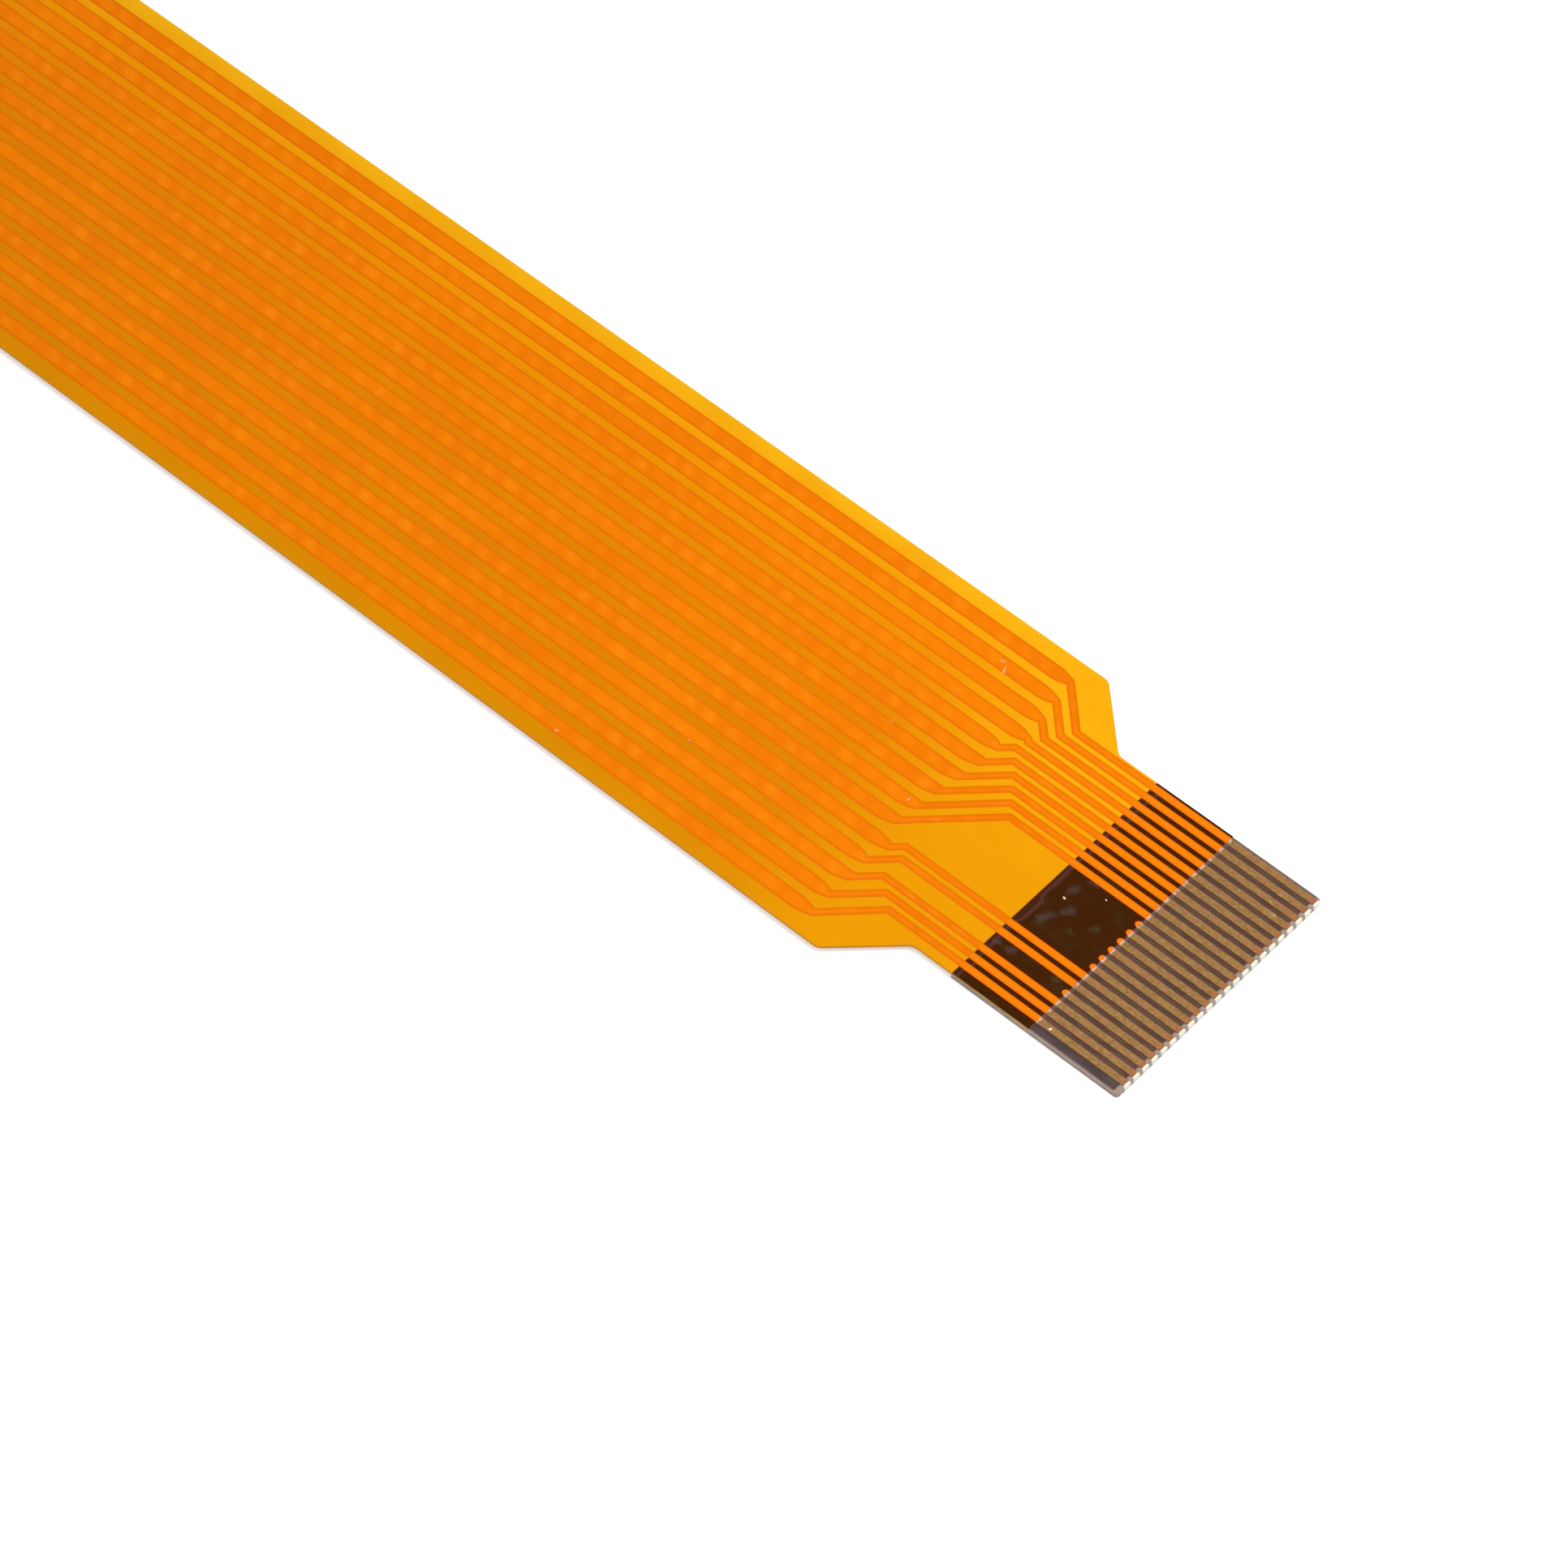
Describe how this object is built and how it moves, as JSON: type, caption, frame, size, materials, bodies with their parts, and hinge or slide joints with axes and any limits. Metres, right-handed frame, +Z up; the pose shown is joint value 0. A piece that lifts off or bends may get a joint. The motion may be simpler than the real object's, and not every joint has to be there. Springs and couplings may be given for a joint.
{
  "type": "flat flex cable",
  "caption": "Straight flexible printed cable: copper conductors between amber films, with a narrow fine-pitch contact tail at one end and a wide contact tail at the other.",
  "frame": {"origin": "bottom centre of the whole cable, on the surface that the two stiffeners rest on", "axes": "+X along the cable towards the narrow contact tail, +Y across it towards the first contact, +Z up, out of the contact side"},
  "size_m": [0.15, 0.016, 0.0003],
  "materials": {
    "base_film": "glossy amber film",
    "cover_film": "glossy translucent amber film",
    "copper": "copper foil, thinly gold-plated where it is bare",
    "idle_copper": "thinly gold-plated copper foil",
    "stiffener": "dark brown-black, smooth"
  },
  "bodies": {
    "root": {"base_film": "base_film", "cover_film": "cover_film", "narrow_stiffener": "stiffener", "wide_stiffener": "stiffener", "conductor_01": "copper", "conductor_02": "copper", "conductor_03": "copper", "conductor_04": "copper", "conductor_05": "copper", "conductor_06": "copper", "conductor_07": "copper", "conductor_08": "copper", "conductor_09": "copper", "conductor_10": "copper", "conductor_11": "copper", "conductor_12": "copper", "conductor_13": "copper", "conductor_14": "copper", "conductor_15": "copper", "idle_contact_11": "idle_copper", "idle_contact_12": "idle_copper", "idle_contact_13": "idle_copper", "idle_contact_14": "idle_copper", "idle_contact_15": "idle_copper", "idle_contact_16": "idle_copper", "idle_contact_19": "idle_copper"}
  },
  "joints": []
}
